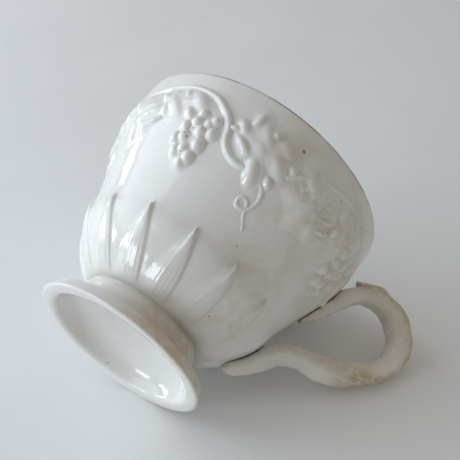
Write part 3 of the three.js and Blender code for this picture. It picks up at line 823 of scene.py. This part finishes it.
def make_bowl(material):
    lip = LIP_THICKNESS / 2
    turns = np.linspace(0, math.pi, LIP_STEPS + 1)[1:]
    lip_arc = np.stack([RIM_RADIUS - lip + lip * np.cos(turns), RIM_Z - lip + lip * np.sin(turns)], axis=-1)
    inner_belly = (BELLY[0] - WALL, BELLY[1])
    inner_shoulder = (SHOULDER[0] - WALL, SHOULDER[1])
    inner = np.vstack([
        swell((0, NECK_Z + FLOOR_THICKNESS), inner_belly, BASIN_PULLS, BASIN_STEPS),
        swell(inner_belly, inner_shoulder, FLARE_PULLS, INNER_FLARE_STEPS)[1:],
        np.linspace(inner_shoulder, lip_arc[-1], INNER_UPRIGHT_POINTS)[1:-1],
    ])
    bm = spun(np.vstack([[(0, NECK_Z)], OUTER_WALL, lip_arc, inner[::-1]]), BOWL_COLUMNS)

    co, radius, azimuth, z = round_places(bm)
    outside = (radius > wall_radius(z) - WALL / 2) & (z > NECK_Z + TOUCH)
    rise = calyx_rise(azimuth, z)
    wobble = hand_wobble(azimuth, z) * smooth_step(0, BOWL_WOBBLE_FADE, z - NECK_Z)
    widen(bm, co, (radius + np.where(outside, rise, 0) + wobble) / np.maximum(radius, TINY))

    # Dirt and painted shade: darker in the hollows beside the calyx leaves and in the crease over the foot
    near = CALYX_CAVITY_REACH / np.radians(wall_radius(z))
    around = (calyx_rise(azimuth - near, z) + calyx_rise(azimuth + near, z)) / 2
    dirt_and_shade = np.clip((around - rise) / CALYX_CAVITY_DEPTH, 0, 1)
    paint(bm, "dirt_and_shade", np.where(outside, CALYX_DIRT_AND_SHADE * dirt_and_shade, 0))
    paint(bm, "crease", np.where(outside, bell(z - NECK_Z, BOWL_CREASE), 0))
    line = bell(z - (RIM_Z - RIM_LINE_DROP), RIM_LINE_WIDTH)
    line *= RIM_LINE_EVEN + (1 - RIM_LINE_EVEN) * np.cos(np.radians(azimuth - RIM_LINE_AZIMUTH))
    paint(bm, "rim", np.where(radius > RIM_RADIUS - lip, line, 0))
    finish_piece("bowl_glazed", bm, material, WHITE_SLOT, "bowl")


def make_foot(material):
    shank_end = (FLANGE_RADIUS - FLANGE_TAPER - FLANGE_ROUNDING, FLANGE_HEIGHT)
    shank = bezier(
        NECK,
        (NECK_RADIUS, NECK_Z - SHANK_PULL * (NECK_Z - FLANGE_HEIGHT)),
        (NECK_RADIUS + SHANK_PULL * (shank_end[0] - NECK_RADIUS), FLANGE_HEIGHT),
        shank_end,
        SHANK_STEPS,
    )
    shank[:, 1] -= GROOVE_DEPTH * bell(shank[:, 0] - shank_end[0] + GROOVE_INSET, GROOVE_WIDTH)
    edge = (FLANGE_RADIUS - FLANGE_TAPER, FLANGE_HEIGHT - FLANGE_ROUNDING)
    heel = (FLANGE_RADIUS, HEEL_ROUNDING)
    ring = (RING_RADIUS, 0)
    over_edge = ((shank_end[0] + FLANGE_PULL, FLANGE_HEIGHT), (edge[0], FLANGE_HEIGHT))
    under_heel = ((FLANGE_RADIUS, HEEL_PULL * HEEL_ROUNDING), (RING_RADIUS + RING_PULL, 0))
    flange = np.vstack([
        bezier(shank[-1], *over_edge, edge, FLANGE_STEPS),
        np.linspace(edge, heel, FLANK_POINTS)[1:],
        bezier(heel, *under_heel, ring, HEEL_STEPS)[1:],
    ])
    inside = RING_RADIUS - RING_WIDTH
    hollow_edge = np.array((inside - HOLLOW_LIP_WIDTH, HOLLOW_LIP_DEPTH))
    hollow = swell(hollow_edge, (0, HOLLOW_DEPTH), HOLLOW_PULLS, HOLLOW_STEPS)
    into_hollow = hollow[1] - hollow_edge
    first_pull, last_pull = HOLLOW_LIP_PULLS
    flat = (inside - first_pull * HOLLOW_LIP_WIDTH, 0)
    roll = hollow_edge - last_pull * HOLLOW_LIP_WIDTH * into_hollow / np.linalg.norm(into_hollow)
    lip = bezier((inside, 0), flat, roll, hollow_edge, HOLLOW_LIP_STEPS)
    bm = spun(np.vstack([[(0, NECK_Z)], shank, flange[1:], lip, hollow[1:]]), FOOT_COLUMNS)

    co, radius, azimuth, z = round_places(bm)
    wobble = FOOT_WOBBLE * hand_wobble(azimuth, z) * smooth_step(NECK_Z, NECK_Z - FOOT_WOBBLE_FADE, z)
    widen(bm, co, 1 + wobble / np.maximum(radius, FOOT_WOBBLE_CORE))

    outside = radius > NECK_RADIUS - SHANK_SKIN
    # Dirt and painted shade in the flange's groove and in the crease under the neck
    groove = bell(radius - shank_end[0] + GROOVE_DIRT_AND_SHADE_INSET, GROOVE_WIDTH)
    paint(bm, "dirt_and_shade", GROOVE_DIRT_AND_SHADE * groove * (z > GROOVE_DIRT_AND_SHADE_ABOVE * FLANGE_HEIGHT))
    paint(bm, "crease", bell(z - NECK_Z, FOOT_CREASE) * outside)
    # Age stain, carried over the flange and heel as painted shade
    turned = smooth_step(*FOOT_STAIN_AND_SHADE_FROM, azimuth) * smooth_step(*FOOT_STAIN_AND_SHADE_TO, azimuth)
    outer = smooth_step(*FOOT_STAIN_AND_SHADE_RADII, radius) + smooth_step(*FOOT_STAIN_AND_SHADE_HEIGHTS, z)
    paint(bm, "age_and_shade", turned * np.clip(outer, 0, 1) * outside * (z < NECK_Z))
    # Glaze pooled at the hollow's lip, darkened there as painted shade of the lip's roll
    from_lip = np.hypot(radius - inside + POOL_AND_SHADE_INSET * HOLLOW_LIP_WIDTH, z)
    pooled_and_shaded = smooth_step(*POOL_AND_SHADE_FROM, azimuth) * smooth_step(*POOL_AND_SHADE_TO, azimuth)
    paint(bm, "pool_and_shade", bell(from_lip, POOL_AND_SHADE_WIDTH) * pooled_and_shaded)
    finish_piece("pedestal_foot_glazed", bm, material, WHITE_SLOT, "pedestal_foot")


# Handle

def handle_line(stations, rings):
    """Centres in the handle's plane as (y, z) with the sizes that the stations carry."""
    rows = []
    for drop, stand_off, *sizes in stations:
        z = HANDLE_TOP - drop * HANDLE_DROP
        rows.append((float(wall_radius(z)) + stand_off * HANDLE_REACH, z, *sizes))
    return spline(rows, rings)


def sweep(bm, line, sides, section):
    """Grows a closed tube along a line in the handle's plane and gives back its rings of vertices.

    section(n) gives the outward and sideways reach of ring n."""
    ahead = np.gradient(line[:, :2], axis=0)
    ahead /= np.linalg.norm(ahead, axis=1)[:, None]
    ring = bmesh.ops.create_circle(bm, segments=sides, radius=1)["verts"]
    face = bm.faces.new(ring)
    rings = []
    for n, ((y, z), (along_y, along_z)) in enumerate(zip(line[:, :2], ahead)):
        if rings:
            cap = face
            grown = bmesh.ops.extrude_face_region(bm, geom=[cap])["geom"]
            face = next(item for item in grown if isinstance(item, bmesh.types.BMFace))
            if len(rings) > 1:
                bm.faces.remove(cap)
            ring = [
                next(e.other_vert(v) for e in v.link_edges if e.other_vert(v) in face.verts) for v in ring
            ]
        for v, out, aside in zip(ring, *section(n)):
            v.co = (aside, y - along_z * out, z + along_y * out)
        rings.append(ring)
    return rings


def twig_stain(station, out):
    """Where the handle has turned tan with the years: by station and by how far the surface faces outwards.
    """
    total = UPPER_END_STAIN * (1 - smooth_step(*UPPER_END_STATIONS, station))
    total += LOWER_END_STAIN * smooth_step(*LOWER_END_STATIONS, station)
    for first, last, least, added, low, high in TWIG_STAINS:
        begun = smooth_step(first - TWIG_STAIN_FADE, first + TWIG_STAIN_FADE, station)
        ended = smooth_step(last - TWIG_STAIN_FADE, last + TWIG_STAIN_FADE, station)
        total += begun * (1 - ended) * (least + added * smooth_step(low, high, out))
    return float(np.clip(total, 0, 1))


def twig_reach(station, turns):
    """Outward and sideways reach of the twig's section at a station, as shares of its half sizes."""
    flat_out, flat_aside = (
        np.sign(v) * np.abs(v) ** HANDLE_SQUARENESS for v in (np.cos(turns), np.sin(turns))
    )
    twist = math.radians(HANDLE_TWIST) * float(smooth_step(*TWIST_STATIONS, station))
    furrow = 1 + sum(high * np.sin(waves * turns + turn * station) for high, waves, turn in TWIG_FURROWS)
    swelling = 1 + sum(high * math.sin(waves * station + start) for high, waves, start in TWIG_SWELLINGS)
    knot = KNOT_HEIGHT * bell(station - KNOT_STATION, KNOT_LENGTH) * bell(turns - KNOT_TURN, KNOT_BREADTH)
    size = furrow * swelling + knot
    return (
        size * (flat_out * math.cos(twist) - flat_aside * math.sin(twist)),
        size * (flat_out * math.sin(twist) + flat_aside * math.cos(twist)),
    )


def make_handle(material):
    bm = bmesh.new()
    line = handle_line(HANDLE_STATIONS, HANDLE_RINGS)
    stations = np.linspace(0, len(HANDLE_STATIONS) - 1, HANDLE_RINGS)
    turns = (np.arange(HANDLE_SIDES) + 0.5) * math.tau / HANDLE_SIDES
    reach = [twig_reach(station, turns) for station in stations]

    def twig_section(n):
        out, aside = reach[n]
        return out * line[n, 2] * HANDLE_THICKNESS / 2, aside * line[n, 3] * HANDLE_WIDTH / 2

    along = np.concatenate([[0], np.cumsum(np.linalg.norm(np.diff(line[:, :2], axis=0), axis=1))])
    marks = {}
    for n, ring in enumerate(sweep(bm, line, HANDLE_SIDES, twig_section)):
        for v, out, turn in zip(ring, reach[n][0], turns):
            grain = (math.cos(turn), math.sin(turn), along[n] / TWIG_GRAIN_LENGTH)
            marks[v] = (twig_stain(stations[n], out), grain)

    spur_line = handle_line(SPUR_STATIONS, SPUR_RINGS)
    spur_turns = np.arange(SPUR_SIDES) * math.tau / SPUR_SIDES

    def spur_section(n):
        size = SPUR_RADIUS * spur_line[n, 2]
        return size * np.cos(spur_turns), size * np.sin(spur_turns)

    for n, ring in enumerate(sweep(bm, spur_line, SPUR_SIDES, spur_section)):
        for v, turn in zip(ring, spur_turns):
            grain = (math.cos(turn), math.sin(turn), SPUR_GRAIN + n / TWIG_GRAIN_LENGTH)
            marks[v] = (SPUR_STAIN, grain)

    _, radius, _, z = round_places(bm)
    stains, grains = zip(*(marks[v] for v in bm.verts))
    paint(bm, "stain", stains)
    paint(bm, "joint", radius - wall_radius(z))
    layer = bm.verts.layers.float_vector.new("twig_grain")
    for v, grain in zip(bm.verts, grains):
        v[layer] = grain
    bmesh.ops.recalc_face_normals(bm, faces=bm.faces)
    finish_piece("handle_glazed", bm, material, STAINED_SLOT, "handle")


# Vine garland

def sprig_piece(name, node_name, material, angle, corners, rise_at, share):
    """Sprig of clay on the wall: a fine sheet over two corners in millimetres, lifted by its share of
    rise_at(x, y)."""
    low, high = (np.array(corner, float) for corner in corners)
    low, high = low - SPRIG_MARGIN, high + SPRIG_MARGIN
    counts = np.ceil((high - low) / SPRIG_GRID).astype(int)
    bm = bmesh.new()
    bmesh.ops.create_grid(bm, x_segments=int(counts[0]), y_segments=int(counts[1]), size=0.5)
    flat = places(bm)[:, :2] + 0.5
    x, y = (low + flat * (high - low)).T
    base = -SPRIG_SINK - GLAZE_FILLET / 4

    def lift_at(right, up):
        return soft_max(share * rise_at(x + right, y + up), base, GLAZE_FILLET)

    lift = lift_at(0, 0)
    # Darker in the hollows of the relief: dirt and painted shade
    step = SPRIG_CAVITY_REACH
    around = (lift_at(step, 0) + lift_at(-step, 0) + lift_at(0, step) + lift_at(0, -step)) / 4
    put(bm, on_wall(angle + x / GARLAND_DEGREE, GARLAND_Z + y, lift))
    dirt_and_shade = np.clip((around - lift) / SPRIG_CAVITY_DEPTH, 0, 1)
    paint(bm, "dirt_and_shade", dirt_and_shade * smooth_step(*SPRIG_CAVITY_LIFT, lift))

    bm.verts.index_update()
    hidden = [f for f in bm.faces if all(lift[v.index] < -SPRIG_SINK * SPRIG_HIDDEN for v in f.verts)]
    bmesh.ops.delete(bm, geom=hidden, context="FACES")
    grown = bmesh.ops.extrude_face_region(bm, geom=bm.faces[:])["geom"]
    for v in (item for item in grown if isinstance(item, bmesh.types.BMVert)):
        radius = math.hypot(v.co.x, v.co.y)
        inner = (float(wall_radius(v.co.z)) - SPRIG_BACK) / radius
        v.co.x *= inner
        v.co.y *= inner
    bmesh.ops.recalc_face_normals(bm, faces=bm.faces)
    finish_piece(name, bm, material, WHITE_SLOT, node_name)


def in_millimetres(points):
    """Garland places with their degrees turned to millimetres along the wall."""
    return [(point[0] * GARLAND_DEGREE, *point[1:]) for point in points]


def bounds_of(points, reach):
    p = np.array([point[:2] for point in points])
    return p.min(0) - reach, p.max(0) + reach


def dome_rise(x, y, start_degree, start_up, end_degree, end_up, width, height):
    """Long dome between two garland places."""
    start, end = np.array(in_millimetres([(start_degree, start_up), (end_degree, end_up)]))
    half = np.linalg.norm(end - start) / 2
    along = (end - start) / (2 * half)
    off_x, off_y = x - (start[0] + end[0]) / 2, y - (start[1] + end[1]) / 2
    u = (off_x * along[0] + off_y * along[1]) / (half + DOME_OVERRUN * width)
    v = (off_y * along[0] - off_x * along[1]) / (width / 2)
    return height * (1 - u ** 2 - v ** 2)


def bunch_shape():
    """Bunch of grapes: overlapping domes on a low mound."""
    grapes = in_millimetres(GRAPES)

    def rise_at(x, y):
        rise = np.maximum(dome_rise(x, y, *BUNCH_MOUND), FAR_BELOW)
        for grape_x, grape_y, size in grapes:
            u = (x - grape_x) / (GRAPE_WIDTH * size / 2)
            v = (y - grape_y) / (GRAPE_LENGTH * size / 2)
            rise = soft_max(rise, GRAPE_RELIEF * size * (1 - u ** 2 - v ** 2), GRAPE_FILLET)
        return np.maximum(rise, FAR_BELOW)

    return bounds_of(grapes, GRAPE_LENGTH / 2), rise_at


def leaf_shape(middle, lobes, raised):
    """Vine leaf: a low blade with soft lobes, and raised lobes that the glaze runs over."""
    middle_x, middle_y = in_millimetres([middle])[0]
    tips = [
        (math.atan2(tip_y - middle_y, tip_x - middle_x), math.hypot(tip_x - middle_x, tip_y - middle_y))
        for tip_x, tip_y in in_millimetres(lobes)
    ]
    spread = math.radians(LOBE_ANGLE)
    core = LEAF_CORE * min(length for _, length in tips)

    def rise_at(x, y):
        away = np.hypot(x - middle_x, y - middle_y)
        angle = np.arctan2(y - middle_y, x - middle_x)
        outline = np.full_like(x, core)
        for tip_angle, length in tips:
            turn = (angle - tip_angle + math.pi) % math.tau - math.pi
            outline = soft_max(outline, length * bell(turn, spread), LEAF_OUTLINE_FILLET)
        lumps = LEAF_LUMP * math.prod(np.sin(across * x + up * y) for across, up in LEAF_LUMP_WAVES)
        rise = LEAF_RELIEF * (1 - np.minimum(away / outline, LEAF_OUTSIDE) ** 2) + lumps
        for dome in raised:
            rise = soft_max(rise, LOBE_RELIEF * dome_rise(x, y, *dome), LOBE_FILLET)
        return rise

    return bounds_of([(middle_x, middle_y), *in_millimetres(lobes)], LEAF_REACH), rise_at


def stem_shape(route, width, relief, taper, sunk):
    """Rounded stem along a route, sunk at its start and thinning towards its end."""
    line = spline(in_millimetres(route), STEM_POINTS)
    way = np.linspace(0, 1, len(line))
    thin = (1 - taper * way ** 2) * (1 - sunk * smooth_step(*SUNK_PART, way))

    def rise_at(x, y):
        rise = np.full_like(x, FAR_BELOW)
        for (at_x, at_y), share in zip(line, thin):
            off = ((x - at_x) ** 2 + (y - at_y) ** 2) / (width * share / 2) ** 2
            rise = np.maximum(rise, relief * share * (1 - off))
        return rise

    return bounds_of(line, width / 2), rise_at


def make_garland(material):
    kinds = {
        "grape_bunch": bunch_shape(),
        "bunch_leaf": leaf_shape(*BUNCH_LEAF),
        "side_leaf": leaf_shape(*SIDE_LEAF),
        "vine_leaf": leaf_shape(*VINE_LEAF),
        "tendril": stem_shape(TENDRIL_ROUTE, TENDRIL_WIDTH, TENDRIL_RELIEF, TENDRIL_TAPER, sunk=0),
    }
    stem = stem_shape(STEM_ROUTE, STEM_WIDTH, STEM_RELIEF, STEM_TAPER, STEM_SUNK)
    stems = {
        1: stem_shape(STEM_ROUTE, STEM_WIDTH, STEM_RELIEF, STEM_TAPER, FIRST_STEM_SUNK),
        HANDLE_REPEAT + 1: stem_shape(STEM_ROUTE[1:], STEM_WIDTH, STEM_RELIEF, STEM_TAPER, sunk=0),
    }
    for repeat in range(1, GARLAND_REPEATS + 1):
        angle = GARLAND_PHASE + (repeat - 1) * 360 / GARLAND_REPEATS
        shapes = {**kinds, "vine_stem": stems.get(repeat, stem)}
        for kind, (corners, rise_at) in shapes.items():
            node_name = f"{kind}_{repeat}"
            if node_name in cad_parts:
                share = FAINT_SPRIGS.get(node_name, 1)
                sprig_piece(f"{node_name}_glazed", node_name, material, angle, corners, rise_at, share)


# Table, light and camera

def lowest_along(direction):
    """How far the cup reaches against a direction, in metres."""
    least = math.inf
    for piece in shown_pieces():
        co = np.empty(len(piece.data.vertices) * 3)
        piece.data.vertices.foreach_get("co", co)
        least = min(least, float((co.reshape(-1, 3) @ np.array(direction)).min()))
    return least


def make_table(material):
    bm = bmesh.new()
    bmesh.ops.create_grid(bm, x_segments=1, y_segments=1, size=TABLE_SIDE * MM / 2)
    turn = TABLE_UP.to_track_quat("Z", "Y").to_matrix().to_4x4()
    under_cup = Matrix.Translation(TABLE_UP * lowest_along(TABLE_UP))
    bmesh.ops.transform(bm, matrix=under_cup @ turn, verts=bm.verts)
    mesh = bpy.data.meshes.new("table")
    bm.to_mesh(mesh)
    bm.free()
    mesh.materials.append(material)
    table = bpy.data.objects.new("table", mesh)
    bpy.context.scene.collection.objects.link(table)
    table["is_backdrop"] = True


def camera_axes():
    back = (CAMERA_PLACE - CAMERA_AIM).normalized()
    right = CAMERA_UP.cross(back).normalized()
    return right, back.cross(right), back


def make_camera():
    data = bpy.data.cameras.new("camera")
    data.lens = CAMERA_LENS
    data.sensor_width = CAMERA_SENSOR
    data.clip_start = CAMERA_CLIP
    camera = bpy.data.objects.new("camera", data)
    bpy.context.scene.collection.objects.link(camera)
    turn = Matrix(camera_axes()).transposed().to_4x4()
    camera.matrix_world = Matrix.Translation((CAMERA_PLACE + AXIS) * MM) @ turn
    bpy.context.scene.camera = camera


def make_light(name, towards, distance, size, power, colour):
    """Soft light that faces the cup from a side, a height over the table and a way beyond the cup."""
    right, _, back = camera_axes()
    away = -(back - TABLE_UP * back.dot(TABLE_UP)).normalized()
    side, above, beyond = towards
    outwards = (right * side + TABLE_UP * above + away * beyond).normalized()
    data = bpy.data.lights.new(name, "AREA")
    data.shape = "RECTANGLE"
    data.size, data.size_y = size
    data.energy = power
    data.color = colour
    light = bpy.data.objects.new(name, data)
    bpy.context.scene.collection.objects.link(light)
    middle = (CAMERA_AIM + AXIS) * MM
    level = TABLE_UP.cross(outwards).normalized()
    turn = Matrix((level, outwards.cross(level), outwards)).transposed().to_4x4()
    light.matrix_world = Matrix.Translation(middle + outwards * distance) @ turn


def make_room():
    for name, values in LIGHTS.items():
        make_light(name, *values)
    world = bpy.data.worlds.new("room")
    world.use_nodes = True
    background = world.node_tree.nodes["Background"]
    background.inputs["Color"].default_value = ROOM_CREAM
    background.inputs["Strength"].default_value = ROOM_STRENGTH
    bpy.context.scene.world = world
    bpy.context.scene.view_settings.view_transform = "Standard"


white_glaze = make_white_glaze()
make_bowl(white_glaze)
make_foot(white_glaze)
make_handle(make_stained_glaze())
make_garland(white_glaze)
make_table(make_table_paint())
make_camera()
make_room()
